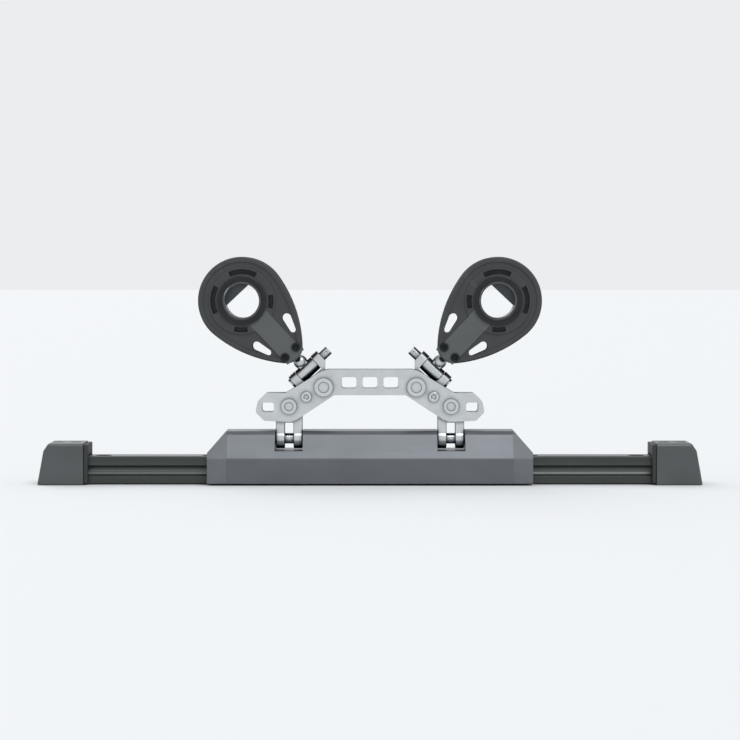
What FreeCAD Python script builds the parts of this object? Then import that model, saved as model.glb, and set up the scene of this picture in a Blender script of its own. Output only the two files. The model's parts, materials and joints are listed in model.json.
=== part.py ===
import FreeCAD, Part
import math
import os
import re
import Sketcher

# Mainsheet traveller: a track that bolts to the deck, a ball-bearing car that runs along it, a
# bridge that stands on the car on two toggles, and two lead blocks that hinge on the bridge.
# Millimetres. X runs along the track, Z is up, and the front of the traveller faces -Y.
# The origin is the middle of the track's underside.

DRIVING_SIZES = {
    # track
    "track_length": 596, "track_width": 32, "track_height": 26,
    "screw_hole_radius": 4.25, "screw_head_radius": 8, "screw_head_depth": 7,
    "screw_spacing": 100, "track_chamfer": 1,
    # ball races of the track and the car
    "ball_radius": 4.75, "race_play": 0.3, "race_height": 12.5, "ball_outset": 0.6,
    "ball_pitch": 10, "return_offset_across": 6.6, "return_offset_up": 9.6,
    # end stops
    "stop_length": 40, "stop_height": 38.5, "stop_width": 50, "stop_lean": 7, "stop_chamfer": 7,
    "stop_overlap": 35, "bumper_thickness": 4, "stop_play": 0.4, "stop_corner": 3,
    "stop_screw_inset": 9, "stop_screw_pitch": 16, "stop_screw_clearance": 0.6,
    "stop_screw_sink": 3, "bumper_inset": 1,
    # car
    "car_length": 303, "car_height": 50, "car_bottom": 1.2, "car_width": 62, "car_side_top": 24.5,
    "shoulder_width": 41, "shoulder_top": 46.5, "roof_width": 31, "roof_clearance": 1,
    "side_clearance": 1, "cap_length": 18, "cap_chamfer": 20, "shoulder_round": 5,
    "skirt_round": 1.5, "cap_recess": 0.5, "cap_screw_floor": 4, "cap_screw_margin": 1.6,
    "cap_screw_clearance": 0.3,
    "turn_depth": 7, "cap_screw_radius": 2.5, "cap_screw_head": 4.2, "cap_screw_length": 22,
    "cap_screw_low": 5.6, "cap_screw_high": 36, "cap_screw_across": 11, "guide_thickness": 1.4,
    "guide_low": 3.2, "guide_height": 3, "guide_depth": 0.4,
    # toggles that carry the bridge
    "toggle_centre": 75.7, "toggle_width": 25, "toggle_play": 0.5, "notch_floor": 31.5,
    "tilt_height": 42, "tilt_pin_radius": 5, "tilt_eye_radius": 9.5, "tongue_depth": 16,
    "fork_gap": 8, "fork_top": 57, "pin_fit": 0.05, "tilt_pin_inset": 14, "tilt_pin_play": 0.5,
    # bridge
    "plate_thickness": 5, "plate_play": 0.5, "lower_pin_height": 72.5, "lower_pin_radius": 5,
    "lower_head_radius": 7, "knee_centre": 43.3, "knee_height": 90.4, "knee_pin_radius": 6,
    "knee_head_radius": 8.5, "head_thickness": 3, "arm_hole_radius": 3.1, "arm_head_radius": 4.8,
    "arm_bolt_radius": 3, "spacer_radius": 4.5, "beam_bottom": 83, "beam_top": 107,
    "lobe_end": 107, "lobe_bottom": 58, "lobe_top": 85, "lobe_round": 8,
    "slot_width": 14, "slot_height": 10.6, "slot_pitch": 19.6, "slot_lift": 94.6,
    "becket_width": 11.5, "becket_height": 9, "becket_centre": 95.5, "becket_lift": 71.6,
    "pin_tail": 9, "cotter_eye": 2.2, "cotter_wire": 0.9, "cotter_fit": 0.1, "cotter_proud": 1.5,
    "cotter_place": 5.4, "head_play": 0.3, "head_dish": 1, "plate_round": 4, "window_round": 2.5,
    "bolt_key_depth": 1,
    # link between the bridge and a block
    "lean": 43.3, "knee_eye_radius": 11, "cross_pin_reach": 22, "cross_pin_radius": 4.5,
    "ear_spread": 18, "ear_inner": 10.5, "ear_floor": 14, "ear_eye_radius": 7.5, "cross_head": 5.8,
    "cross_head_thickness": 2,
    # block
    "hub_reach": 111, "cheek_radius": 41, "head_reach": 50.5, "head_radius": 14.5,
    "side_radius": 120, "neck_width": 9, "ball_reach": 32, "swivel_radius": 6.5,
    "cheek_gap": 22, "cheek_thickness": 4.5, "cheek_edge": 1.2, "sheave_radius": 38,
    "sheave_width": 20, "rope_radius": 7, "groove_depth": 6, "hub_bore": 16, "hub_radius": 19.6,
    "spigot_radius": 17.8, "roller_radius": 2.2, "roller_play": 0.2, "roller_length": 17,
    "hub_ring_radius": 23.2, "hub_ring_thickness": 2, "web_offset": 7, "web_thickness": 6,
    "post_width": 20, "post_top": 52, "post_toe": 3.4, "post_slope": 5,
    "head_bolt_reach": 45, "head_bolt_spread": 7,
    "head_bolt_radius": 2.5, "head_bolt_head": 4.2, "head_bolt_proud": 1.6,
    "window_reach": 65.4, "window_offset": 17.6,
    "window_low": 6.3, "window_low_radius": 3.2, "window_top": 5.5, "window_top_radius": 4.4,
    "window_turn": 17,
    "arc_inner": 24.8, "arc_outer": 29.5, "rib_height": 1.4, "spine_width": 20, "rim_width": 4.5,
    "boss_radius": 31, "roller_space": 0.9, "sheave_chamfer": 1.2,
}

# Sizes that follow from the driving ones.
FORMULAS = {
    "ball_line": "track_width / 2 + ball_outset",
    "race_radius": "ball_radius + race_play",
    "return_line": "ball_line + return_offset_across",
    "return_height": "race_height + return_offset_up",
    "body_end": "car_length / 2 - cap_length",
    "stop_inner": "stop_outer - stop_length",
    "stop_outer": "track_length / 2 + stop_length - stop_overlap",
    "notch_width": "toggle_width + 2 * toggle_play",
    "plate_inner": "tongue_depth / 2 + plate_play",
    "plate_outer": "tongue_depth / 2 + plate_play + plate_thickness",
    "cheek_inner": "cheek_gap / 2",
    "cheek_outer": "cheek_gap / 2 + cheek_thickness",
    "roller_line": "hub_radius + roller_play + roller_radius",
    "sheave_bore": "hub_radius + 2 * roller_play + 2 * roller_radius",
    "arm_x": "(toggle_centre + knee_centre) / 2",
    "arm_z": "(lower_pin_height + knee_height) / 2",
    "side_z": "(head_reach + hub_reach) / 2 + ((side_radius - head_radius) ^ 2"
              " - (side_radius - cheek_radius) ^ 2) / (2 * (hub_reach - head_reach))",
    "side_x": "sqrt((side_radius - cheek_radius) ^ 2 - (side_z - hub_reach) ^ 2)",
    "inner_width": "track_width + 2 * side_clearance",
    "inner_height": "track_height + roof_clearance",
    "lobe_low": "lobe_bottom + 1",
    "lobe_tip": "lobe_end - 2",
    "post_low": "head_reach - head_radius + 0.5",
}

CHECKED_STATES = ("Invalid", "Error")
THROUGH = 2000      # longer than any part, for a cut that goes right through
LEAST_CUT = 1e-6    # cubic millimetres
ALONG = 0.9         # a unit direction with more than this on an axis runs along the axis
FRONT_AND_REAR = (("front", -1), ("rear", 1))
LEFT_AND_RIGHT = (("left", -1), ("right", 1))
VECTOR = FreeCAD.Vector

document = FreeCAD.newDocument("Traveller")
sheet = document.addObject("Spreadsheet::Sheet", "Sizes")
for row, (alias, number) in enumerate(DRIVING_SIZES.items(), 1):
    sheet.set(f"A{row}", alias.replace("_", " "))
    sheet.set(f"B{row}", str(number))
    sheet.setAlias(f"B{row}", alias)
document.recompute()

nodes = []


def bound(formula):
    """A formula in size names, written out as one in cells of the sheet."""
    def replace(match):
        word = match[0]
        if word in FORMULAS:
            return "(" + bound(FORMULAS[word]) + ")"
        if word in DRIVING_SIZES:
            return "Sizes." + word
        return word
    return re.sub(r"[a-z_]+", replace, str(formula))


def value(formula):
    """The number that a formula comes to, in millimetres or degrees."""
    result = sheet.evalExpression(bound(formula))
    return float(getattr(result, "Value", result))


def bind(item, **formulas):
    """Bind properties of an object to formulas; a double underscore stands for a dot."""
    for name, formula in formulas.items():
        item.setExpression(name.replace("__", "."), bound(formula))


def place(item, x=0, y=0, z=0, axis=(0, 0, 1), angle=0):
    """Put an object at a place given by formulas, turned about an axis by a formula."""
    rotation = FreeCAD.Rotation(VECTOR(*axis), value(angle))
    item.Placement = FreeCAD.Placement(VECTOR(value(x), value(y), value(z)), rotation)
    bind(item, Placement__Base__x=x, Placement__Base__y=y, Placement__Base__z=z)
    if value(angle):
        bind(item, Placement__Rotation__Angle=angle)
    return item


def finish(item, name):
    """Name a sub-part and put it on the list of nodes."""
    item.Label = name
    nodes.append(item)
    return item


def cylinder(name, radius, length, start, along="Z", x=0, y=0, z=0):
    """A round bar along one axis, from start to start + length beside the place x, y, z."""
    bar = document.addObject("Part::Cylinder", name)
    bind(bar, Radius=radius, Height=length)
    spots = {"X": (f"{x} + {start}", y, z), "Y": (x, f"{y} + {start}", z), "Z": (x, y, f"{z} + {start}")}
    turns = {"X": ((0, 1, 0), 90), "Y": ((1, 0, 0), -90), "Z": ((0, 0, 1), 0)}
    spot, (axis, angle) = spots[along], turns[along]
    bar.Placement = FreeCAD.Placement(VECTOR(*map(value, spot)), FreeCAD.Rotation(VECTOR(*axis), angle))
    bind(bar, Placement__Base__x=spot[0], Placement__Base__y=spot[1], Placement__Base__z=spot[2])
    return bar


def box(name, low, size):
    """A block from its lowest corner and its three sizes, all formulas."""
    block = document.addObject("Part::Box", name)
    bind(block, Length=size[0], Width=size[1], Height=size[2])
    return place(block, *low)


def fuse(name, items):
    """One solid from several."""
    joined = document.addObject("Part::MultiFuse", name)
    joined.Shapes = items
    return joined


def cut(name, base, tool):
    """A solid with another taken out of it."""
    result = document.addObject("Part::Cut", name)
    result.Base = base
    result.Tool = tool
    return result


def group(name, items):
    """Several separate solids kept as one node."""
    compound = document.addObject("Part::Compound", name)
    compound.Links = items
    return finish(compound, name)


def new_body(name):
    """An empty body of features."""
    return document.addObject("PartDesign::Body", name)


def sketch_on(body, role):
    """A new sketch on one of the body's own origin planes."""
    sketch = body.newObject("Sketcher::SketchObject", "Sketch")
    plane = [feature for feature in body.Origin.OriginFeatures if feature.Role == role + "_Plane"][0]
    sketch.AttachmentSupport = [(plane, "")]
    sketch.MapMode = "FlatFace"
    return sketch


def fix_point(sketch, edge, end, place_2d):
    """Hold one point of a sketch at a place given by two formulas."""
    for kind, formula in zip(("DistanceX", "DistanceY"), place_2d):
        index = sketch.addConstraint(Sketcher.Constraint(kind, -1, 1, edge, end, value(formula)))
        sketch.setExpression(f"Constraints[{index}]", bound(formula))


def outline(body, role, corners):
    """A closed outline. A corner is (across, up), or (across, up, radius) where the edge that
    leaves it is an arc, curving outwards for an outline that runs anticlockwise."""
    sketch = sketch_on(body, role)
    points = [VECTOR(value(corner[0]), value(corner[1]), 0) for corner in corners]
    bulges = [-1 if len(corner) == 3 and value(corner[2]) < 0 else 1 for corner in corners]
    for number, corner in enumerate(corners):
        start, end = points[number], points[(number + 1) % len(points)]
        if len(corner) == 2:
            sketch.addGeometry(Part.LineSegment(start, end), False)
            continue
        radius, bulge = abs(value(corner[2])), bulges[number]
        half = (end - start) / 2
        inward = VECTOR(-half.y, half.x, 0).normalize() * bulge
        centre = start + half + inward * math.sqrt(max(radius ** 2 - half.Length ** 2, 0))
        first, last = (math.atan2(point.y - centre.y, point.x - centre.x) for point in (start, end)[::bulge])
        circle = Part.Circle(centre, VECTOR(0, 0, 1), radius)
        sketch.addGeometry(Part.ArcOfCircle(circle, first, last + 2 * math.pi * (last < first)), False)
    for number, corner in enumerate(corners):
        before = number - 1 if number else len(corners) - 1
        begins, ends = (1 if bulges[number] > 0 else 2), (2 if bulges[before] > 0 else 1)
        sketch.addConstraint(Sketcher.Constraint("Coincident", before, ends, number, begins))
        fix_point(sketch, number, begins, corner[:2])
    for number, corner in enumerate(corners):
        if len(corner) == 3:
            index = sketch.addConstraint(Sketcher.Constraint("Radius", number, abs(value(corner[2]))))
            sketch.setExpression(f"Constraints[{index}]", bound(f"abs({corner[2]})"))
    return sketch


def circles(body, role, places):
    """A sketch of circles, each (across, up, radius)."""
    sketch = sketch_on(body, role)
    for number, (across, up, radius) in enumerate(places):
        circle = Part.Circle(VECTOR(value(across), value(up), 0), VECTOR(0, 0, 1), value(radius))
        sketch.addGeometry(circle, False)
        fix_point(sketch, number, 3, (across, up))
        index = sketch.addConstraint(Sketcher.Constraint("Radius", number, value(radius)))
        sketch.setExpression(f"Constraints[{index}]", bound(radius))
    return sketch


def rectangle(across, up, width, height):
    """The corners of a rectangle round a centre, for outline()."""
    signs = ((-1, -1), (1, -1), (1, 1), (-1, 1))
    return [(f"{across} + {i} * ({width}) / 2", f"{up} + {j} * ({height}) / 2") for i, j in signs]


def shift(sketch, offset):
    """Move a sketch off its plane, along the plane's normal."""
    bind(sketch, AttachmentOffset__Base__z=offset)
    return sketch


def pad(body, sketch, length):
    """Thicken a sketch evenly to both sides."""
    feature = body.newObject("PartDesign::Pad", "Pad")
    feature.Profile = sketch
    feature.Midplane = True
    bind(feature, Length=length)
    document.recompute()


def pocket(body, sketch, length=THROUGH):
    """Cut a sketch out of the body to both sides, and make sure that it removed something."""
    before = body.Shape.Volume
    feature = body.newObject("PartDesign::Pocket", "Pocket")
    feature.Profile = sketch
    bind(feature, Length=length)
    feature.Midplane = True
    document.recompute()
    if body.Shape.Volume >= before - LEAST_CUT:
        raise RuntimeError(f"{body.Label}: a pocket cut nothing")


def edges_where(shape, test):
    """The names of the straight edges whose middle passes a test of (middle, direction)."""
    names = []
    for number, edge in enumerate(shape.Edges, 1):
        if edge.Curve.TypeId == "Part::GeomLine":
            ends = [vertex.Point for vertex in edge.Vertexes]
            if test((ends[0] + ends[1]) / 2, (ends[1] - ends[0]).normalize()):
                names.append(f"Edge{number}")
    return names


def dress(body, kind, size, test):
    """Round ("Fillet") or bevel ("Chamfer") the straight edges that pass a test."""
    base = body.Tip
    feature = body.newObject("PartDesign::" + kind, kind)
    feature.Base = (base, edges_where(base.Shape, test))
    bind(feature, **{"Radius" if kind == "Fillet" else "Size": size})
    document.recompute()


def make_track():
    """The rail: a broad foot and head with a ball race along each side, and deck screw holes."""
    rail = new_body("track_rail")
    half, radius = "track_width / 2", "race_radius"
    reach = f"sqrt({radius} ^ 2 - ball_outset ^ 2)"
    corners = [(f"-({half})", 0), (half, 0), (half, f"race_height - {reach}", f"-({radius})"),
               (half, f"race_height + {reach}"), (half, "track_height"),
               (f"-({half})", "track_height"), (f"-({half})", f"race_height + {reach}", f"-({radius})"),
               (f"-({half})", f"race_height - {reach}")]
    pad(rail, outline(rail, "YZ", corners), "track_length")
    places = [(f"{step} * screw_spacing", 0) for step in (-2.5, -1.5, -0.5, 0.5, 1.5, 2.5)]
    pocket(rail, circles(rail, "XY", [(x, y, "screw_hole_radius") for x, y in places]))
    heads = circles(rail, "XY", [(x, y, "screw_head_radius") for x, y in places])
    pocket(rail, shift(heads, "track_height"), "2 * screw_head_depth")
    dress(rail, "Chamfer", "track_chamfer", lambda middle, way: abs(way.x) > ALONG
          and min(abs(middle.z), abs(middle.z - value("track_height"))) < 0.1)
    finish(rail, "track_rail")


def make_end_stops():
    """The stops that close the track, each a housing over the rail with a rubber bumper."""
    screws = []
    for side, sign in LEFT_AND_RIGHT:
        stop = new_body("end_stop_" + side)
        face = "(stop_inner + bumper_thickness)"
        corners = [(face, 0), ("stop_outer + stop_lean", 0),
                   ("stop_outer + stop_lean * stop_chamfer / stop_height", "stop_height - stop_chamfer"),
                   ("stop_outer - stop_chamfer / 2", "stop_height"), (face, "stop_height")]
        profile = [(f"{sign} * ({x})", z) for x, z in corners][::sign]
        pad(stop, outline(stop, "XZ", profile), "stop_width")
        dress(stop, "Fillet", "stop_corner", lambda middle, way: abs(middle.x) > value(face) + 1
              and (middle.z > 1 if abs(way.y) < 1 - ALONG else middle.z > value("stop_height / 2")))
        length = "stop_overlap - bumper_thickness + stop_play"
        opening = rectangle(0, "track_height / 2", "track_width + 2 * stop_play",
                            "track_height + 2 * stop_play")
        pocket(stop, shift(outline(stop, "YZ", opening), f"{sign} * {face}"), f"2 * ({length})")
        screw_x = [f"{sign} * ({face} + stop_screw_inset + {step} * stop_screw_pitch)" for step in (0, 1)]
        holes = [(x, 0, "cap_screw_radius + stop_screw_clearance") for x in screw_x]
        pocket(stop, circles(stop, "XY", holes))
        heads = [(x, 0, "2 * cap_screw_radius + stop_screw_clearance") for x in screw_x]
        pocket(stop, shift(circles(stop, "XY", heads), "stop_height"), "2 * stop_screw_sink")
        finish(stop, stop.Name)

        bumper = new_body("end_stop_bumper_" + side)
        middle_x = f"{sign} * (stop_inner + bumper_thickness / 2)"
        shape = rectangle(middle_x, "stop_height / 2", "bumper_thickness", "stop_height - 2 * bumper_inset")
        pad(bumper, outline(bumper, "XZ", shape), "stop_width - 2 * bumper_inset")
        opening = rectangle(0, 0, "track_width + 4 * stop_play", "2 * track_height + 4 * stop_play")
        pocket(bumper, outline(bumper, "YZ", opening))
        finish(bumper, bumper.Name)
        for x in screw_x:
            seat = "(stop_height - stop_screw_sink)"
            shank = cylinder("shank", "cap_screw_radius", f"{seat} - track_height", "track_height", x=x)
            head = cylinder("head", "2 * cap_screw_radius", "cap_screw_radius", seat, x=x)
            screws.append(fuse("stop_screw", [shank, head]))
    group("end_stop_screws", screws)


def car_outline():
    """The car's cross-section outside, from the bottom left round to the right and back."""
    right = [("car_width / 2", "car_bottom"), ("car_width / 2", "car_side_top"),
             ("shoulder_width / 2", "shoulder_top"), ("roof_width / 2", "car_height")]
    return [(f"-({y})", z) for y, z in right[:1]] + right + [(f"-({y})", z) for y, z in right[:0:-1]]


def hollow_car(body):
    """Cut the tunnel for the track, a ball race in each of its walls and a bore for the balls
    that come back above each race."""
    tunnel = rectangle(0, 0, "inner_width", "2 * inner_height")
    pocket(body, outline(body, "YZ", tunnel))
    for sign in (-1, 1):
        pocket(body, circles(body, "YZ", [(f"{sign} * ball_line", "race_height", "race_radius")]))
        pocket(body, circles(body, "YZ", [(f"{sign} * return_line", "return_height", "race_radius")]))


def round_skirt(body):
    """Round the car's shoulders and the lower edges of its sides."""
    dress(body, "Fillet", "shoulder_round", lambda middle, way: abs(way.x) > ALONG
          and middle.z > value("car_side_top") - 1)
    dress(body, "Fillet", "skirt_round", lambda middle, way: abs(way.x) > ALONG
          and middle.z < value("car_bottom") + 1)


def make_car():
    """The extruded car body with its notches for the toggles, and the two end caps."""
    car = new_body("car_body")
    pad(car, outline(car, "YZ", car_outline()), "2 * body_end")
    round_skirt(car)
    hollow_car(car)
    for sign in (-1, 1):
        groove = rectangle(f"{sign} * inner_width / 2", "guide_low + guide_height / 2",
                           "2 * (guide_depth + guide_thickness)", "guide_height")
        pocket(car, outline(car, "YZ", groove))
    for sign in (-1, 1):
        notch = rectangle(f"{sign} * toggle_centre", "car_height", "notch_width",
                          "2 * (car_height - notch_floor)")
        pocket(car, outline(car, "XZ", notch))
        bore = circles(car, "YZ", [(0, "tilt_height", "tilt_pin_radius + pin_fit")])
        depth = "body_end - toggle_centre + notch_width / 2 + tilt_pin_inset"
        pocket(car, shift(bore, f"{sign} * body_end"), f"2 * ({depth})")
        threads = circles(car, "YZ", [(y, z, "cap_screw_radius") for y, z in cap_screw_places()])
        pocket(car, shift(threads, f"{sign} * body_end"), "2 * (cap_screw_length - cap_screw_floor)")
    finish(car, "car_body")
    for side, sign in LEFT_AND_RIGHT:
        make_car_cap(side, sign)


def cap_screw_places():
    """Where the four screws of an end cap stand in the cross-section."""
    low = [(f"{sign} * (car_width / 2 - cap_screw_head - cap_screw_margin)", "cap_screw_low")
           for sign in (-1, 1)]
    return low + [(f"{sign} * cap_screw_across", "cap_screw_high") for sign in (-1, 1)]


def make_car_cap(side, sign):
    """An end cap: it closes the car, turns the balls round and keeps the tilt pin in."""
    cap = new_body("car_end_cap_" + side)
    section = shift(outline(cap, "YZ", car_outline()), f"{sign} * (body_end + cap_length / 2)")
    pad(cap, section, "cap_length")
    round_skirt(cap)
    end, edge = "(car_length / 2)", "(body_end + cap_recess)"
    above = f"(car_height + {end} - {edge})"
    corners = [(end, "car_height - cap_chamfer"), (f"{end} + cap_length", "car_height - cap_chamfer"),
               (f"{end} + cap_length", above), (edge, above), (edge, "car_height")]
    pocket(cap, outline(cap, "XZ", [(f"{sign} * ({x})", z) for x, z in corners][::sign]))
    tunnel = rectangle(0, 0, "inner_width", "2 * inner_height")
    pocket(cap, outline(cap, "YZ", tunnel))
    for hand in (-1, 1):
        for line, height in (("return_line", "return_height"), ("ball_line", "race_height")):
            turn = circles(cap, "YZ", [(f"{hand} * {line}", height, "race_radius")])
            pocket(cap, shift(turn, f"{sign} * body_end"), "2 * turn_depth")
    holes = [(y, z, "cap_screw_radius + cap_screw_clearance") for y, z in cap_screw_places()]
    pocket(cap, circles(cap, "YZ", holes))
    heads = [(y, z, "cap_screw_head + cap_screw_clearance") for y, z in cap_screw_places()]
    outer_face = f"{sign} * car_length / 2"
    pocket(cap, shift(circles(cap, "YZ", heads), outer_face), "2 * (cap_length - cap_screw_floor)")
    finish(cap, cap.Name)

    screws = []
    for y, z in cap_screw_places():
        seat = "(body_end + cap_screw_floor)"
        start = f"{seat} - cap_screw_length" if sign > 0 else f"-{seat}"
        head_start = seat if sign > 0 else f"-{seat} - 2 * cap_screw_radius"
        shank = cylinder("shank", "cap_screw_radius - pin_fit", "cap_screw_length", start, "X", y=y, z=z)
        head = cylinder("head", "cap_screw_head", "2 * cap_screw_radius", head_start, "X", y=y, z=z)
        screws.append(fuse("cap_screw", [shank, head]))
    group("car_cap_screws_" + side, screws)


def make_balls():
    """The two trains of balls, loaded beside the track and coming back above it, and the
    guides that keep the loaded row in its race when the car is off the track."""
    for face, sign in FRONT_AND_REAR:
        pitch, half_run = value("ball_pitch"), value("body_end") - value("ball_radius")
        count = int(half_run / pitch)
        rows = (("ball_line", "race_height"), ("return_line", "return_height"))
        balls = []
        for line, height in rows:
            for step in range(-count, count + 1):
                centre = VECTOR(step * pitch, sign * value(line), value(height))
                balls.append(Part.makeSphere(value("ball_radius"), centre))
        train = document.addObject("Part::Feature", "ball_train_" + face)
        train.Shape = Part.makeCompound(balls)
        finish(train, train.Name)

        low = f"{sign} * (inner_width / 2 + guide_depth + guide_thickness / 2) - guide_thickness / 2"
        guide = box("ball_guide_" + face, ("-body_end + 0.5", low, "guide_low"),
                    ("2 * body_end - 1", "guide_thickness", "guide_height"))
        finish(guide, guide.Name)


def make_toggles():
    """The forked toggles that stand in the car's notches and hold the bridge, and their pins."""
    for side, sign in LEFT_AND_RIGHT:
        toggle = new_body("toggle_" + side)
        half, top = "toggle_width / 2", "lower_pin_height"
        corners = [(f"-({half})", "tilt_height"), (half, "tilt_height"), (half, top, half),
                   (0, f"{top} + {half}", half), (f"-({half})", top)]
        pad(toggle, outline(toggle, "XZ", corners), "tongue_depth")
        pad(toggle, circles(toggle, "YZ", [(0, "tilt_height", "tilt_eye_radius")]), "toggle_width")
        fork = rectangle(0, "tilt_height", "fork_gap", "2 * (fork_top - tilt_height)")
        pocket(toggle, outline(toggle, "XZ", fork))
        pocket(toggle, circles(toggle, "YZ", [(0, "tilt_height", "tilt_pin_radius + pin_fit")]))
        pocket(toggle, circles(toggle, "XZ", [(0, top, "lower_pin_radius + pin_fit")]))
        finish(place(toggle, x=f"{sign} * toggle_centre"), toggle.Name)

        near = "(toggle_centre - notch_width / 2 - tilt_pin_inset + tilt_pin_play)"
        far = "(body_end - tilt_pin_play)"
        length, begin = f"{far} - {near}", near if sign > 0 else f"-{far}"
        pin = cylinder("tilt_pin_" + side, "tilt_pin_radius", length, begin, "X", z="tilt_height")
        finish(pin, pin.Name)


def plate_outline():
    """The bridge plate seen from the front, anticlockwise from the middle of its underside."""
    right = [("knee_centre - 10", "beam_bottom"), ("toggle_centre - 8", "lobe_bottom + 2.5"),
             ("toggle_centre - 2", "lobe_bottom"), ("lobe_end - lobe_round", "lobe_low"),
             ("lobe_end", "lobe_low + lobe_round"), ("lobe_tip", "lobe_top - lobe_round"),
             ("lobe_tip - lobe_round", "lobe_top"), ("toggle_centre + 3", "lobe_top"),
             ("knee_centre + 2", "beam_top - 1.5"), ("knee_centre - 4", "beam_top")]
    return right + [(f"-({x})", z) for x, z in right[::-1]]


def make_bridge():
    """The two plates of the bridge with their pins, cotters, spacers and bolts."""
    for face, sign in FRONT_AND_REAR:
        plate = new_body("bridge_plate_" + face)
        pad(plate, outline(plate, "XZ", plate_outline()), "plate_thickness")
        dress(plate, "Fillet", "plate_round", lambda middle, way: abs(way.y) > ALONG)
        holes = []
        for hand in (-1, 1):
            holes.append((f"{hand} * toggle_centre", "lower_pin_height", "lower_pin_radius + pin_fit"))
            holes.append((f"{hand} * arm_x", "arm_z", "arm_hole_radius"))
            holes.append((f"{hand} * knee_centre", "knee_height", "knee_pin_radius + pin_fit"))
        pocket(plate, circles(plate, "XZ", holes))
        for step in (-1, 0, 1):
            slot = rectangle(f"{step} * slot_pitch", "slot_lift", "slot_width", "slot_height")
            pocket(plate, outline(plate, "XZ", slot))
        for hand in (-1, 1):
            window = rectangle(f"{hand} * becket_centre", "becket_lift", "becket_width", "becket_height")
            pocket(plate, outline(plate, "XZ", window))
        window_z = (value("slot_lift"), value("becket_lift"))
        dress(plate, "Fillet", "window_round", lambda middle, way: abs(way.y) > ALONG and (
            abs(middle.x) < value("1.5 * slot_pitch") and abs(middle.z - window_z[0]) < value("slot_height")
            or abs(abs(middle.x) - value("becket_centre")) < value("becket_width / 2 + 1")
            and abs(middle.z - window_z[1]) < value("becket_height / 2 + 1")))
        finish(place(plate, y=f"{sign} * (plate_inner + plate_thickness / 2)"), plate.Name)

    cotters = []
    for side, sign in LEFT_AND_RIGHT:
        pins = (("lower_pin_", "toggle_centre", "lower_pin_height", "lower_pin_radius", "lower_head_radius"),
                ("knee_pin_", "knee_centre", "knee_height", "knee_pin_radius", "knee_head_radius"))
        for name, x, z, radius, head_radius in pins:
            x = f"{sign} * {x}"
            make_pin(name + side, radius, head_radius, x, z)
            cotters.append(cotter("X", radius, x=x, y="plate_outer + cotter_place", z=z))
    group("bridge_cotters", cotters)
    make_spacers()


def make_pin(name, radius, head_radius, x, z):
    """A clevis pin through both plates: a dished head in front, a cross hole for its cotter behind."""
    seat = "-plate_outer - head_play"
    head = cylinder("head", head_radius, "head_thickness", f"{seat} - head_thickness", "Y", x=x, z=z)
    dish = cylinder("dish", f"0.62 * ({head_radius})", "2 * head_dish",
                    f"{seat} - head_thickness - head_dish", "Y", x=x, z=z)
    shank = cylinder("shank", radius, "2 * plate_outer + pin_tail + head_play", seat, "Y", x=x, z=z)
    hole = cylinder("hole", "cotter_wire + cotter_fit", f"4 * {radius}", f"-2 * {radius}", "X",
                    x=x, y="plate_outer + cotter_place", z=z)
    pin = cut(name, fuse("pin", [head, shank]), fuse("pin_cuts", [dish, hole]))
    finish(pin, name)


def cotter(along, radius, x=0, y=0, z=0):
    """A split pin through the cross hole of a clevis pin, with its round eye on one side."""
    reach = f"({radius} + cotter_proud)"
    bar = cylinder("cotter_bar", "cotter_wire", f"2 * {reach} + cotter_eye", f"-{reach} - cotter_eye", along,
                   x=x, y=y, z=z)
    eye = document.addObject("Part::Torus", "cotter_eye")
    bind(eye, Radius1="cotter_eye", Radius2="cotter_wire")
    shift = f"{reach} + cotter_eye"
    if along == "X":
        place(eye, x=f"{x} + {shift}", y=y, z=z, axis=(1, 0, 0), angle=90)
    else:
        place(eye, x=x, y=f"{y} + {shift}", z=z)
    return fuse("cotter", [bar, eye])


def make_spacers():
    """The sleeves that hold the plates apart in the arms, and the bolts and nuts through them."""
    sleeves, bolts, nuts = [], [], []
    for side, sign in LEFT_AND_RIGHT:
        x, z = f"{sign} * arm_x", "arm_z"
        outer = cylinder("sleeve_outside", "spacer_radius", "2 * plate_inner", "-plate_inner", "Y", x=x, z=z)
        inner = cylinder("sleeve_inside", "arm_hole_radius", "2 * plate_inner", "-plate_inner", "Y", x=x, z=z)
        sleeves.append(cut("sleeve", outer, inner))
        head = cylinder("bolt_head", "arm_head_radius", "head_thickness", "-plate_outer - head_thickness",
                        "Y", x=x, z=z)
        shank = cylinder("bolt_shank", "arm_bolt_radius", "2 * plate_outer + pin_tail", "-plate_outer", "Y",
                         x=x, z=z)
        socket = cylinder("bolt_socket", "0.5 * arm_head_radius", "2 * bolt_key_depth",
                          "-plate_outer - head_thickness - bolt_key_depth", "Y", x=x, z=z)
        bolts.append(cut("bridge_bolt", fuse("bolt", [head, shank]), socket))
        nut = document.addObject("Part::Prism", "nut")
        bind(nut, Circumradius="arm_head_radius * 1.1", Height="1.5 * head_thickness")
        nut.Placement = FreeCAD.Placement(VECTOR(), FreeCAD.Rotation(VECTOR(1, 0, 0), -90))
        bind(nut, Placement__Base__x=x, Placement__Base__y="plate_outer", Placement__Base__z=z)
        bore = cylinder("nut_bore", "arm_bolt_radius", "3 * head_thickness",
                        "plate_outer - head_thickness", "Y", x=x, z=z)
        nuts.append(cut("bridge_nut", nut, bore))
    group("bridge_spacers", sleeves)
    group("bridge_bolts", bolts)
    group("bridge_nuts", nuts)


def lean_over(item, sign):
    """Stand a piece that was made upright over the knee pin out at the block's lean."""
    return place(item, x=f"{sign} * knee_centre", z="knee_height", axis=(0, 1, 0), angle=f"{sign} * lean")


def finish_leaning(item, name, sign):
    """Turn a plain solid out to the lean, as a node of its own."""
    holder = document.addObject("Part::Compound", name)
    holder.Links = [item]
    return finish(lean_over(holder, sign), name)


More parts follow.
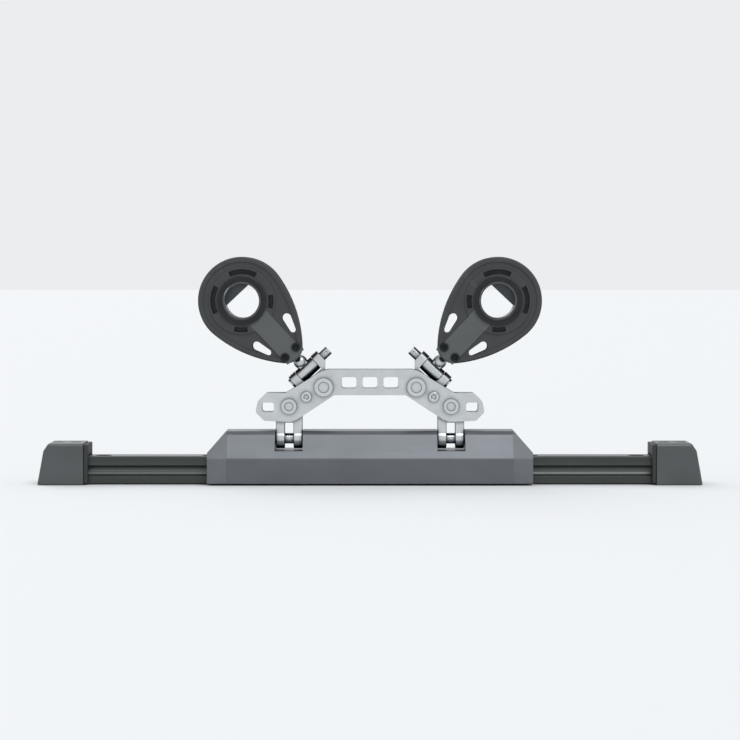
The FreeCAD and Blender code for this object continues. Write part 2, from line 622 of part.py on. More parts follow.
def make_link(side, sign):
    """The link from the knee pin to a block: an eye between the plates and two ears above."""
    link = new_body("block_link_" + side)
    eye = "knee_eye_radius"
    ear_top = "cross_pin_reach + ear_eye_radius"
    slope = [("ear_spread", "ear_spread - 1"), ("ear_spread", ear_top), ("ear_inner", ear_top),
             ("ear_inner", "ear_floor")]
    corners = [(f"-({eye})", 0, eye), (0, f"-({eye})", eye), (eye, 0), (f"{eye} - 2", "ear_floor - 6")]
    corners += slope + [(f"-({x})", z) for x, z in slope[::-1]] + [(f"-({eye}) + 2", "ear_floor - 6")]
    pad(link, outline(link, "XZ", corners), "tongue_depth")
    pocket(link, circles(link, "XZ", [(0, 0, "knee_pin_radius + pin_fit")]))
    pocket(link, circles(link, "YZ", [(0, "cross_pin_reach", "cross_pin_radius + pin_fit")]))
    dress(link, "Fillet", "ear_eye_radius - 0.5", lambda middle, way: abs(way.x) > ALONG
          and middle.z > value(ear_top) - 0.1)
    finish(lean_over(link, sign), link.Name)

    seat = "(ear_spread + head_play)"
    shank_start, head_start = f"-{seat}", f"-{seat} - cross_head_thickness"
    if sign > 0:
        shank_start, head_start = "-ear_spread - pin_tail", seat
    shank = cylinder("cross_shank", "cross_pin_radius", "2 * ear_spread + head_play + pin_tail", shank_start,
                     "X", z="cross_pin_reach")
    head = cylinder("cross_head", "cross_head", "cross_head_thickness", head_start, "X", z="cross_pin_reach")
    tail = f"{-sign} * (ear_spread + cotter_place)"
    hole = cylinder("cross_hole", "cotter_wire + cotter_fit", "4 * cross_pin_radius", "-2 * cross_pin_radius",
                    "Y", x=tail, z="cross_pin_reach")
    finish_leaning(cut("cross_pin", fuse("cross", [shank, head]), hole), "cross_pin_" + side, sign)
    finish_leaning(cotter("Y", "cross_pin_radius", x=tail, z="cross_pin_reach"), "cross_cotter_" + side, sign)


def cheek_corners(inset=0):
    """The outline of a cheek, or a line inset from it: a large arc round the hub and a small one
    round the head, joined by two long arcs that touch both. The places where they meet lie on
    the lines from the centre of a long arc through the centres of the other two."""
    reach = f"(side_radius - {inset})"
    low_share = f"{reach} / (side_radius - head_radius)"
    top_share = f"{reach} / (side_radius - cheek_radius)"
    low = (f"side_x * ({low_share} - 1)", f"side_z + (head_reach - side_z) * {low_share}")
    top = (f"side_x * ({top_share} - 1)", f"side_z + (hub_reach - side_z) * {top_share}")
    head, round_end = f"head_radius - {inset}", f"cheek_radius - {inset}"
    return [(f"-{low[0]}", low[1], head), (*low, reach), (*top, round_end),
            (0, f"hub_reach + {round_end}", round_end), (f"-{top[0]}", top[1], reach)]


def sector(inner, outer, middle_angle, half_angle):
    """The corners of an arc-shaped slot round the hub; angles from the head's direction."""
    def at(radius, angle):
        return f"{radius} * sin({angle})", f"hub_reach - {radius} * cos({angle})"
    first, last = middle_angle - half_angle, middle_angle + half_angle
    return [(*at(outer, first), outer), at(outer, last), (*at(inner, last), f"-{inner}"), at(inner, first)]


def make_cheek(side, sign, face, hand):
    """One side plate of a block: rim, spine and hub boss stand proud of a thinner web."""
    cheek = new_body("cheek_plate")
    pad(cheek, outline(cheek, "XZ", cheek_corners()), "cheek_thickness")
    bevel_face(cheek, hand)
    web = outline(cheek, "XZ", cheek_corners("rim_width"))
    bind(web, AttachmentOffset__Base__z=f"{-hand} * cheek_thickness / 2")
    pocket(cheek, web, "2 * rib_height")
    spine_low = "(head_reach - head_radius + rim_width / 2)"
    spine = rectangle(0, f"({spine_low} + hub_reach) / 2", "spine_width", f"hub_reach - {spine_low}")
    for raised in (outline(cheek, "XZ", spine), circles(cheek, "XZ", [(0, "hub_reach", "boss_radius")])):
        bind(raised, AttachmentOffset__Base__z=f"{-hand} * (cheek_thickness - rib_height) / 2")
        pad(cheek, raised, "rib_height")
    pocket(cheek, circles(cheek, "XZ", [(0, "hub_reach", "spigot_radius + pin_fit")]))
    for middle, half in ((45, 13), (-45, 13), (135, 27), (-135, 27)):
        pocket(cheek, outline(cheek, "XZ", sector("arc_inner", "arc_outer", middle, half)))
    for turn in (-1, 1):
        cut_window(cheek, turn)
    bolts = [(f"{turn} * head_bolt_spread", "head_bolt_reach", "head_bolt_radius + pin_fit")
             for turn in (-1, 1)]
    pocket(cheek, circles(cheek, "XZ", bolts))
    place(cheek, y=f"{hand} * (cheek_inner + cheek_thickness / 2)")
    finish_leaning(cheek, f"cheek_{face}_{side}", sign)


def cut_window(cheek, turn):
    """Cut a window that leans with the side of the cheek: a small round end towards the head,
    a larger one towards the hub, and the straight stretch between them."""
    ends = []
    for along, radius in (("-window_low", "window_low_radius"), ("window_top", "window_top_radius")):
        x = f"{turn} * (window_offset + ({along}) * sin(window_turn))"
        z = f"window_reach + ({along}) * cos(window_turn)"
        ends.append((x, z, radius))
        pocket(cheek, circles(cheek, "XZ", [(x, z, radius)]))
    corners = []
    for (x, z, radius), hands in zip(ends, ((-1, 1), (1, -1))):
        for hand in hands:
            corners.append((f"{x} + {hand} * {radius} * cos(window_turn)",
                            f"{z} - {hand * turn} * {radius} * sin(window_turn)"))
    pocket(cheek, outline(cheek, "XZ", corners))


def bevel_face(body, hand):
    """Bevel all round the face of a pad that looks to the front (-1) or to the rear (1)."""
    base = body.Tip
    levels = [face.CenterOfMass.y * hand for face in base.Shape.Faces]
    feature = body.newObject("PartDesign::Chamfer", "Bevel")
    feature.Base = (base, [f"Face{levels.index(max(levels)) + 1}"])
    bind(feature, Size="cheek_edge")
    document.recompute()


def make_block(side, sign):
    """A lead block: cheeks, head post, hub, bearing rollers, sheave and fastenings."""
    post = new_body("swivel")
    pad(post, outline(post, "XZ", rectangle(0, "(cross_pin_reach + post_top) / 2", "neck_width",
                                            "post_top - cross_pin_reach")), "neck_width")
    pad(post, circles(post, "YZ", [(0, "cross_pin_reach", "ear_eye_radius - 0.5")]), "2 * ear_inner - 1")
    half = "post_width / 2"
    shoulders = [("post_toe", "post_low"), (half, "post_low + post_slope"), (half, "post_top")]
    shoulders += [(f"-({x})", z) for x, z in shoulders[::-1]]
    pad(post, outline(post, "XZ", shoulders), "cheek_gap")
    pocket(post, circles(post, "YZ", [(0, "cross_pin_reach", "cross_pin_radius + pin_fit")]))
    bolts = [(f"{turn} * head_bolt_spread", "head_bolt_reach", "head_bolt_radius + pin_fit")
             for turn in (-1, 1)]
    pocket(post, circles(post, "XZ", bolts))
    ball = document.addObject("Part::Sphere", "swivel_ball")
    bind(ball, Radius="swivel_radius", Placement__Base__z="ball_reach")
    keep_out = cylinder("pin_space", "cross_pin_radius + pin_fit", "2 * swivel_radius", "-swivel_radius", "X",
                        z="cross_pin_reach")
    finish_leaning(cut("post", fuse("post_with_ball", [post, ball]), keep_out), "head_post_" + side, sign)
    for face, hand in FRONT_AND_REAR:
        make_cheek(side, sign, face, hand)

    hub = new_body("hub_" + side)
    pad(hub, circles(hub, "XZ", [(0, "hub_reach", "hub_radius")]), "cheek_gap")
    spigot = circles(hub, "XZ", [(0, "hub_reach", "spigot_radius")])
    pad(hub, spigot, "2 * (cheek_outer + hub_ring_thickness)")
    pocket(hub, circles(hub, "XZ", [(0, "hub_reach", "hub_bore")]))
    half = "sqrt((hub_bore + 0.5) ^ 2 - web_offset ^ 2)"
    web = [(half, "hub_reach + web_offset", "hub_bore + 0.5"), (f"-{half}", "hub_reach + web_offset")]
    pad(hub, outline(hub, "XZ", web), "web_thickness")
    finish(lean_over(hub, sign), hub.Name)
    for face, hand in FRONT_AND_REAR:
        start = "cheek_outer" if hand > 0 else "-cheek_outer - hub_ring_thickness"
        outer = cylinder("ring_outside", "hub_ring_radius", "hub_ring_thickness", start, "Y", z="hub_reach")
        inner = cylinder("ring_inside", "spigot_radius", "hub_ring_thickness", start, "Y", z="hub_reach")
        finish_leaning(cut("hub_ring", outer, inner), f"hub_ring_{face}_{side}", sign)

    rollers = []
    count = int(2 * math.pi * value("roller_line") / value("2 * roller_radius + roller_space"))
    for number in range(count):
        angle = 360 / count * number
        roller = cylinder("roller", "roller_radius", "roller_length", "-roller_length / 2", "Y",
                          x=f"roller_line * cos({angle})", z=f"hub_reach + roller_line * sin({angle})")
        rollers.append(roller)
    holder = document.addObject("Part::Compound", "bearing_rollers_" + side)
    holder.Links = rollers
    finish(lean_over(holder, sign), holder.Name)

    bolts = []
    for turn in (-1, 1):
        x, z = f"{turn} * head_bolt_spread", "head_bolt_reach"
        shank = cylinder("head_bolt_shank", "head_bolt_radius", "2 * cheek_outer", "-cheek_outer", "Y",
                         x=x, z=z)
        heads = [cylinder("head_bolt_head", "head_bolt_head", "head_bolt_proud", start, "Y", x=x, z=z)
                 for start in ("cheek_outer", "-cheek_outer - head_bolt_proud")]
        sockets = [cylinder("bolt_key", "0.5 * head_bolt_head", "2 * bolt_key_depth",
                            f"{end} - bolt_key_depth", "Y", x=x, z=z)
                   for end in ("cheek_outer + head_bolt_proud", "-cheek_outer - head_bolt_proud")]
        bolts.append(cut("head_bolt", fuse("bolt", [shank] + heads), fuse("keys", sockets)))
    holder = document.addObject("Part::Compound", "head_bolts_" + side)
    holder.Links = bolts
    finish(lean_over(holder, sign), holder.Name)
    make_sheave("sheave_" + side, sign)


def make_sheave(name, sign):
    """The grooved wheel, turned about the Y axis."""
    sheave = new_body("wheel")
    half, rim = "sheave_width / 2", "sheave_radius"
    lip = f"({half} - rope_radius)"
    side = [(rim, f"{half} - {lip}"), (rim, f"{half} - sheave_chamfer"), (f"{rim} - sheave_chamfer", half),
            ("sheave_bore", half)]
    corners = [(radius, f"-({across})") for radius, across in side[::-1]]
    corners[-1] += ("-(rope_radius ^ 2 + groove_depth ^ 2) / (2 * groove_depth)",)
    corners += side
    sketch = outline(sheave, "XY", corners)
    turned = sheave.newObject("PartDesign::Revolution", "Turned")
    turned.Profile = sketch
    turned.ReferenceAxis = (sketch, ["V_Axis"])
    turned.Angle = 360
    document.recompute()
    place(sheave, z="hub_reach")
    finish_leaning(sheave, name, sign)


def check_and_write():
    """Make sure that every object computed and every node is sound, then write the files."""
    document.recompute()
    failed = [item.Label for item in document.Objects if any(word in item.State for word in CHECKED_STATES)]
    if failed:
        raise RuntimeError("failed objects: " + ", ".join(failed))
    os.makedirs("parts", exist_ok=True)
    for node in nodes:
        if node.Shape.isNull() or not node.Shape.isValid() or not node.Shape.Solids:
            raise RuntimeError("bad shape: " + node.Label)
        node.Shape.exportStep(os.path.join("parts", node.Label + ".step"))
    print(len(nodes), "nodes written")


make_track()
make_end_stops()
make_car()
make_balls()
make_toggles()
make_bridge()
for hand_name, hand_sign in LEFT_AND_RIGHT:
    make_link(hand_name, hand_sign)
    make_block(hand_name, hand_sign)
check_and_write()
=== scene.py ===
import json
import math

import bpy
from bpy.props import FloatProperty, FloatVectorProperty, PointerProperty
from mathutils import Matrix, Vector


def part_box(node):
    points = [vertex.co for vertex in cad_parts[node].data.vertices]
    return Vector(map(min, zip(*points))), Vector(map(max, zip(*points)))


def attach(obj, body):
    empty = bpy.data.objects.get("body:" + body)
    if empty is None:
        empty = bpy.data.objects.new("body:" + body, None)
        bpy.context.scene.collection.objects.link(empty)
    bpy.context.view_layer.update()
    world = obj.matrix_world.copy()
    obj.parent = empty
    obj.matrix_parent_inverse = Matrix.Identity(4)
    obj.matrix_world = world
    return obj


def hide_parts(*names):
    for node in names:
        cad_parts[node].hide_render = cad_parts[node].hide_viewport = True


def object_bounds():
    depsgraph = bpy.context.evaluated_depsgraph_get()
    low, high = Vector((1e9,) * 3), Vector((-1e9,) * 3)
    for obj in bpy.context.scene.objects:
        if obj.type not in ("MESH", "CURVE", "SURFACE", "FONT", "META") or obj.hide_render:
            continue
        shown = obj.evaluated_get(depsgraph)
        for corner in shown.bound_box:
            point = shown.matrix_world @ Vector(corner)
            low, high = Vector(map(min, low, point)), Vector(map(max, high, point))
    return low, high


bl_info = {
    "name": "Mainsheet Traveller",
    "version": (1, 0, 0),
    "blender": (4, 5, 0),
    "location": "View3D > Sidebar > Traveller",
    "description": "Finishes a ball-bearing mainsheet traveller with two lead blocks",
    "category": "Object",
}

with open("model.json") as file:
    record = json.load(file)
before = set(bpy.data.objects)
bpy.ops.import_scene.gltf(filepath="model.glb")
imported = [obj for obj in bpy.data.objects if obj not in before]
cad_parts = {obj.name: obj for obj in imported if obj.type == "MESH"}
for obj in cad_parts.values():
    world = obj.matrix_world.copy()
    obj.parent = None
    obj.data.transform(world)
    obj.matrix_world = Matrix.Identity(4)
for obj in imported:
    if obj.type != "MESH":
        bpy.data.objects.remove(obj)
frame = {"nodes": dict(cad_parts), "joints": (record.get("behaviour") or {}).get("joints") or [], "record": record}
CAD_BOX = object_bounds()
MM = 0.001
SIDES = ("left", "right")
FACES = ("front", "rear")

WHITE = [1.0, 1.0, 1.0, 1.0]
# Most of a noise pattern's values lie between these.
NOISE_LOW, NOISE_HIGH = 0.3, 0.7
EVEN = (1, 1, 1)


# ---------------------------------------------------------------------------------------------
# Colours and materials
# ---------------------------------------------------------------------------------------------

def linear(hex_colour):
    """An sRGB hex colour as linear red, green, blue and alpha."""
    channels = [int(hex_colour[place:place + 2], 16) / 255 for place in (0, 2, 4)]
    return [c / 12.92 if c <= 0.04045 else ((c + 0.055) / 1.055) ** 2.4 for c in channels] + [1.0]


def add(tree, kind, settings=None, links=None):
    """Add a node to a material, set its properties, sockets and ramp stops, and link its inputs,
    each to a socket or to a node's first output."""
    node = tree.nodes.new(kind)
    for name, value in (settings or {}).items():
        if name == "stops":
            for stop, (place, colour) in zip(node.color_ramp.elements, value):
                stop.position, stop.color = place, colour
        elif hasattr(node, str(name)):
            setattr(node, name, value)
        else:
            node.inputs[name].default_value = value
    for name, source in (links or {}).items():
        if isinstance(source, bpy.types.Node):
            source = next(socket for socket in source.outputs if socket.enabled)
        tree.links.new(source, node.inputs[name])
    return node


def new_material(name):
    """A material with no nodes yet, and its node tree."""
    material = bpy.data.materials.new(name)
    material.use_nodes = True
    material.node_tree.nodes.clear()
    return material, material.node_tree


def surface(tree, base, pattern, rough, raised, metallic=0.0):
    """The shader of a finish. Its fine pattern makes it rougher, from the first to the second value
    of rough, and raises it, by raised: a strength and a height in millimetres."""
    roughness = add(tree, "ShaderNodeMapRange", {"To Min": rough[0], "To Max": rough[1]},
                    {"Value": pattern})
    relief = add(tree, "ShaderNodeBump", {"Strength": raised[0], "Distance": raised[1] * MM},
                 {"Height": pattern})
    shader = add(tree, "ShaderNodeBsdfPrincipled", {"Metallic": metallic},
                 {"Base Color": base, "Roughness": roughness, "Normal": relief})
    add(tree, "ShaderNodeOutputMaterial", links={"Surface": shader})


def shade(colour, factor):
    """A colour made lighter or darker."""
    return [min(channel * factor, 1.0) for channel in colour[:3]] + [1.0]


def stretched_noise(tree, stretch, grain_mm, detail=3.0, turn=(0, 0, 0)):
    """Noise whose grain is grain_mm across, drawn out along each axis by stretch."""
    place = add(tree, "ShaderNodeTexCoord")
    scale = [1 / (grain_mm * MM * factor) for factor in stretch]
    mapping = add(tree, "ShaderNodeMapping", {"Rotation": turn, "Scale": scale},
                  {"Vector": place.outputs["Object"]})
    return add(tree, "ShaderNodeTexNoise", {"Scale": 1.0, "Detail": detail}, {"Vector": mapping})


def lathe_rings(tree, centre, pitch_mm):
    """Fine rings about the Y axis through a centre, pitch_mm apart."""
    place = add(tree, "ShaderNodeTexCoord")
    moved = add(tree, "ShaderNodeMapping", {"Location": [-c for c in centre]},
                {"Vector": place.outputs["Object"]})
    wave = add(tree, "ShaderNodeTexWave", {"wave_type": "RINGS", "rings_direction": "Y",
                                           "Scale": math.pi / (10 * pitch_mm * MM),
                                           "Distortion": 0.6, "Detail": 1.0, "Detail Scale": 0.3},
               {"Vector": moved})
    return wave.outputs["Fac"]


def edge_wear(tree, start, full):
    """1 where an edge stands out and has rubbed, broken up by noise, and 0 elsewhere. Wear goes
    from start to full as the edge gets sharper; 0.5 is a flat face."""
    shape = add(tree, "ShaderNodeNewGeometry")
    edges = add(tree, "ShaderNodeMapRange", {"From Min": start, "From Max": full},
                {"Value": shape.outputs["Pointiness"]})
    patches = stretched_noise(tree, EVEN, grain_mm=3.0)
    return add(tree, "ShaderNodeMath", {"operation": "MULTIPLY"}, {0: edges, 1: patches})


def race_highlight_mask(tree, height, half_width_mm, fade_mm):
    """1 along a level line, the painted highlight along the race groove, fading to 0 above and below it."""
    place = add(tree, "ShaderNodeTexCoord")
    split = add(tree, "ShaderNodeSeparateXYZ", links={"Vector": place.outputs["Object"]})
    above = add(tree, "ShaderNodeMath", {"operation": "SUBTRACT", 1: height}, {0: split.outputs["Z"]})
    away = add(tree, "ShaderNodeMath", {"operation": "ABSOLUTE"}, {0: above})
    return add(tree, "ShaderNodeMapRange", {"interpolation_type": "SMOOTHSTEP",
                                            "From Min": half_width_mm * MM,
                                            "From Max": (half_width_mm + fade_mm) * MM,
                                            "To Min": 1.0, "To Max": 0.0}, {"Value": away})


def with_painted_shade(tree, tone, facing, side_shade_colour, corner_shade_colour):
    """A metal's tone with painted shade: darker on the narrow sides between its front and rear, and
    in tight corners, where shade falls. facing is where the sideways share of a normal starts and ends."""
    place = add(tree, "ShaderNodeTexCoord")
    split = add(tree, "ShaderNodeSeparateXYZ", links={"Vector": place.outputs["Normal"]})
    size = add(tree, "ShaderNodeMath", {"operation": "ABSOLUTE"}, {0: split.outputs["Y"]})
    broad = add(tree, "ShaderNodeMapRange", {"From Min": facing[0], "From Max": facing[1]},
                {"Value": size})
    corner_reach = 5 * MM
    shut_in = add(tree, "ShaderNodeAmbientOcclusion", {"samples": 8, "Distance": corner_reach})
    open_up = add(tree, "ShaderNodeMapRange", {"From Min": 0.45, "From Max": 0.92},
                  {"Value": shut_in.outputs["AO"]})
    # Painted shade: the colour is darkened on the narrow sides and in the tight corners.
    for share, dark in ((broad, side_shade_colour), (open_up, corner_shade_colour)):
        veil = add(tree, "ShaderNodeValToRGB", {"stops": ((0.0, dark), (1.0, WHITE))}, {"Fac": share})
        tone = add(tree, "ShaderNodeMix", {"data_type": "RGBA", "blend_type": "MULTIPLY", "Factor": 1.0},
                   {"A": tone, "B": veil})
    return tone


def strap_mask(tree, hub, lean):
    """1 on the strap: near the line from the hub to the head, on the head's side of the hub."""
    half_width, soft_edge, from_hub, fade = 9.8 * MM, 0.8 * MM, 16 * MM, 6 * MM
    place = add(tree, "ShaderNodeTexCoord")
    moved = add(tree, "ShaderNodeMapping", {"Location": [-c for c in hub]},
                {"Vector": place.outputs["Object"]})
    upright = add(tree, "ShaderNodeMapping", {"Rotation": (0, -lean, 0)}, {"Vector": moved})
    split = add(tree, "ShaderNodeSeparateXYZ", links={"Vector": upright})
    across = add(tree, "ShaderNodeMath", {"operation": "ABSOLUTE"}, {0: split.outputs["X"]})
    near = add(tree, "ShaderNodeMapRange", {"From Min": half_width,
                                            "From Max": half_width + soft_edge,
                                            "To Min": 1.0, "To Max": 0.0}, {"Value": across})
    below = add(tree, "ShaderNodeMapRange", {"From Min": -from_hub, "From Max": -(from_hub + fade)},
                {"Value": split.outputs["Z"]})
    return add(tree, "ShaderNodeMath", {"operation": "MULTIPLY"}, {0: near, 1: below})


def anodised_extrusion(name, hex_colour, roughness, race=None):
    """Anodised aluminium extrusion: satin, with faint die lines drawn along X that catch the
    light, slightly uneven dye, and bare metal showing where the edges have rubbed. race is the
    height of a painted highlight along the race groove, in metres. Real die lines are about
    0.1 mm apart, and are drawn 0.6 mm apart so that they show."""
    material, tree = new_material(name)
    colour = linear(hex_colour)
    lines = stretched_noise(tree, (120, 1, 1), grain_mm=0.6)
    cloud = stretched_noise(tree, (2, 1, 1), grain_mm=30)
    dye = add(tree, "ShaderNodeValToRGB",
              {"stops": ((NOISE_LOW, shade(colour, 0.92)), (NOISE_HIGH, shade(colour, 1.08)))},
              {"Fac": cloud})
    if race is not None:
        # A painted highlight: a paler line along the race groove.
        race_highlight_colour = shade(colour, 1.9)
        line = race_highlight_mask(tree, race, half_width_mm=1.0, fade_mm=4.5)
        dye = add(tree, "ShaderNodeMix", {"data_type": "RGBA", "B": race_highlight_colour},
                  {"Factor": line, "A": dye})
    bare_metal = linear("9da1a3")
    rubbed = add(tree, "ShaderNodeMix", {"data_type": "RGBA", "B": bare_metal},
                 {"Factor": edge_wear(tree, start=0.54, full=0.62), "A": dye})
    surface(tree, rubbed, lines, rough=(roughness - 0.05, roughness + 0.06), raised=(0.12, 0.02),
            metallic=0.7)
    return material


def stainless_plate(name, hex_colour, turn):
    """Stainless steel plate with a brushed finish: bright, with fine scratches one way, and painted
    shade that darkens its narrow sides and its tight corners. Real scratches are finer than 0.1 mm,
    and are drawn 0.35 mm apart so that they show."""
    material, tree = new_material(name)
    colour = linear(hex_colour)
    scratches = stretched_noise(tree, (60, 1, 1), grain_mm=0.35, detail=4.0, turn=turn)
    smears = stretched_noise(tree, EVEN, grain_mm=14)
    tone = add(tree, "ShaderNodeValToRGB",
               {"stops": ((0.25, shade(colour, 0.88)), (0.75, shade(colour, 1.04)))}, {"Fac": smears})
    # Painted shade: the colours of the darkened narrow sides and of the darkened tight corners.
    plate_side_shade, plate_corner_shade = shade(colour, 0.22), shade(colour, 0.35)
    base = with_painted_shade(tree, tone, (0.62, 0.95), plate_side_shade, plate_corner_shade)
    surface(tree, base, scratches, rough=(0.20, 0.36), raised=(0.3, 0.015), metallic=1.0)
    return material


def turned_steel(name, hex_colour, roughness):
    """Turned stainless steel, buffed to a near mirror, with faint handling marks, and painted shade
    that darkens its sideways-facing surfaces and the corners under its heads."""
    material, tree = new_material(name)
    colour = linear(hex_colour)
    marks = stretched_noise(tree, EVEN, grain_mm=1.2, detail=5.0)
    tone = add(tree, "ShaderNodeValToRGB",
               {"stops": ((NOISE_LOW, shade(colour, 0.88)), (NOISE_HIGH, colour))}, {"Fac": marks})
    # Painted shade: the colours of the darkened sideways-facing rims and of the darkened corners.
    pin_side_shade, pin_corner_shade = linear("818386"), linear("464646")
    base = with_painted_shade(tree, tone, (0.55, 0.92), pin_side_shade, pin_corner_shade)
    surface(tree, base, marks, rough=(roughness - 0.05, roughness + 0.1), raised=(0.1, 0.01),
            metallic=1.0)
    return material


def turned_anodised(name, hex_colour, roughness, centre):
    """Turned and hard-anodised aluminium: dark satin with the rings of the lathe tool. Real tool
    marks are about 0.1 mm apart, and are drawn 1.2 mm apart so that they show."""
    material, tree = new_material(name)
    colour = linear(hex_colour)
    rings = lathe_rings(tree, centre, pitch_mm=1.2)
    cloud = stretched_noise(tree, EVEN, grain_mm=9)
    dye = add(tree, "ShaderNodeValToRGB",
              {"stops": ((NOISE_LOW, shade(colour, 0.85)), (NOISE_HIGH, shade(colour, 1.15)))},
              {"Fac": cloud})
    bare_metal = linear("a9adaf")
    rubbed = add(tree, "ShaderNodeMix", {"data_type": "RGBA", "B": bare_metal},
                 {"Factor": edge_wear(tree, start=0.53, full=0.60), "A": dye})
    surface(tree, rubbed, rings, rough=(roughness - 0.06, roughness + 0.06), raised=(0.2, 0.012),
            metallic=0.7)
    return material


def filled_nylon(name, hex_colour, fleck_hex, strap=None):
    """Glass-filled nylon, moulded: dark, dry satin with a fine sand-like grain and a few pale
    flecks of fibre, drawn coarser than life so that they show. strap is the colour, the hub's
    place and the lean of a paler band that runs down the middle of a cheek to its head."""
    material, tree = new_material(name)
    colour = linear(hex_colour)
    grain = stretched_noise(tree, EVEN, grain_mm=0.7, detail=4.0)
    flow = stretched_noise(tree, EVEN, grain_mm=22)
    fibres = stretched_noise(tree, (3, 1, 3), grain_mm=0.45)
    base = add(tree, "ShaderNodeValToRGB",
               {"stops": ((NOISE_LOW, shade(colour, 0.90)), (NOISE_HIGH, shade(colour, 1.10)))},
               {"Fac": flow})
    if strap:
        base = add(tree, "ShaderNodeMix", {"data_type": "RGBA", "B": linear(strap[0])},
                   {"Factor": strap_mask(tree, *strap[1:]), "A": base})
    flecks = add(tree, "ShaderNodeMapRange", {"From Min": 0.70, "From Max": 0.76, "To Max": 0.5},
                 {"Value": fibres})
    flecked = add(tree, "ShaderNodeMix", {"data_type": "RGBA", "B": linear(fleck_hex)},
                  {"Factor": flecks, "A": base})
    rubbed = add(tree, "ShaderNodeMix", {"data_type": "RGBA", "B": shade(colour, 1.8)},
                 {"Factor": edge_wear(tree, start=0.54, full=0.64), "A": flecked})
    surface(tree, rubbed, grain, rough=(0.38, 0.54), raised=(0.3, 0.05))
    return material


def moulded_polymer(name, hex_colour, roughness):
    """Moulded bearing polymer: smooth, slightly waxy plastic with a faint flow pattern."""
    material, tree = new_material(name)
    colour = linear(hex_colour)
    flow = stretched_noise(tree, EVEN, grain_mm=2.5)
    base = add(tree, "ShaderNodeValToRGB",
               {"stops": ((NOISE_LOW, shade(colour, 0.85)), (NOISE_HIGH, shade(colour, 1.15)))},
               {"Fac": flow})
    surface(tree, base, flow, rough=(roughness - 0.05, roughness + 0.08), raised=(0.1, 0.02))
    return material


def moulded_rubber(name, hex_colour):
    """Moulded rubber: black, matt, with a fine pebbled skin."""
    material, tree = new_material(name)
    colour = linear(hex_colour)
    pebbles = stretched_noise(tree, EVEN, grain_mm=0.9, detail=2.0)
    base = add(tree, "ShaderNodeValToRGB",
               {"stops": ((NOISE_LOW, colour), (NOISE_HIGH, shade(colour, 1.5)))}, {"Fac": pebbles})
    surface(tree, base, pebbles, rough=(0.62, 0.8), raised=(0.5, 0.08))
    return material


def painted_floor(name, hex_colour):
    """A plain painted studio floor: pale and fully matt."""
    material, tree = new_material(name)
    paint = add(tree, "ShaderNodeBsdfPrincipled", {"Base Color": linear(hex_colour), "Roughness": 0.9})
    add(tree, "ShaderNodeOutputMaterial", links={"Surface": paint})
    return material


# ---------------------------------------------------------------------------------------------
# Modelling helpers
# ---------------------------------------------------------------------------------------------

MERGE_DISTANCE = 0.002 * MM
SAME_PLANE = math.radians(0.6)
SHARP_EDGE = math.radians(32)


def node_body(node):
    """The body that a CAD node rides on."""
    bodies = frame["record"]["behaviour"]["bodies"]
    return next(body for body, nodes in bodies.items() if node in nodes)


def joint_point(name):
    """Where a joint turns, as a vector."""
    return Vector(next(joint["pos_m"] for joint in frame["joints"] if joint["name"] == name))


def select_only(piece):
    """Select and activate one object, in object mode."""
    if bpy.context.object and bpy.context.object.mode != "OBJECT":
        bpy.ops.object.mode_set(mode="OBJECT")
    bpy.ops.object.select_all(action="DESELECT")
    piece.select_set(True)
    bpy.context.view_layer.objects.active = piece


def softened(node, name, material, width=0.0, segments=3, dissolve=True):
    """A copy of a CAD node as one clean shell with its sharp edges rounded; it takes the node's
    place and rides on the node's body. A flat face with many holes isn't dissolved into one, and
    a piece that is round all over gets no width."""
    source = frame["nodes"][node]
    piece = source.copy()
    piece.data = source.data.copy()
    piece.name = piece.data.name = name
    bpy.context.collection.objects.link(piece)
    select_only(piece)
    bpy.ops.mesh.customdata_custom_splitnormals_clear()
    bpy.ops.object.mode_set(mode="EDIT")
    bpy.ops.mesh.select_all(action="SELECT")
    bpy.ops.mesh.remove_doubles(threshold=MERGE_DISTANCE)
    if dissolve:
        bpy.ops.mesh.dissolve_limited(angle_limit=SAME_PLANE)
    bpy.ops.object.mode_set(mode="OBJECT")
    if width:
        rounding = piece.modifiers.new("Rounding", "BEVEL")
        rounding.width, rounding.segments = width, segments
        rounding.limit_method, rounding.angle_limit = "ANGLE", SHARP_EDGE
        rounding.miter_outer = "MITER_ARC"
        rounding.use_clamp_overlap = True
        bpy.ops.object.modifier_apply(modifier="Rounding")
    bpy.ops.object.shade_smooth_by_angle(angle=SHARP_EDGE)
    even = piece.modifiers.new("Even shading", "WEIGHTED_NORMAL")
    even.keep_sharp = True
    bpy.ops.object.modifier_apply(modifier="Even shading")
    piece.data.materials.clear()
    piece.data.materials.append(material)
    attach(piece, node_body(node))
    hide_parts(node)
    return piece


def shells(piece):
    """The lowest and highest corners of each separate shell of a piece."""
    mesh = piece.data
    root = list(range(len(mesh.vertices)))

    def top(number):
        while root[number] != number:
            root[number] = root[root[number]]
            number = root[number]
        return number
    for edge in mesh.edges:
        root[top(edge.vertices[0])] = top(edge.vertices[1])
    groups = {}
    for vertex in mesh.vertices:
        groups.setdefault(top(vertex.index), []).append(vertex.co)
    return [([min(c[i] for c in group) for i in range(3)], [max(c[i] for c in group) for i in range(3)])
            for group in groups.values()]


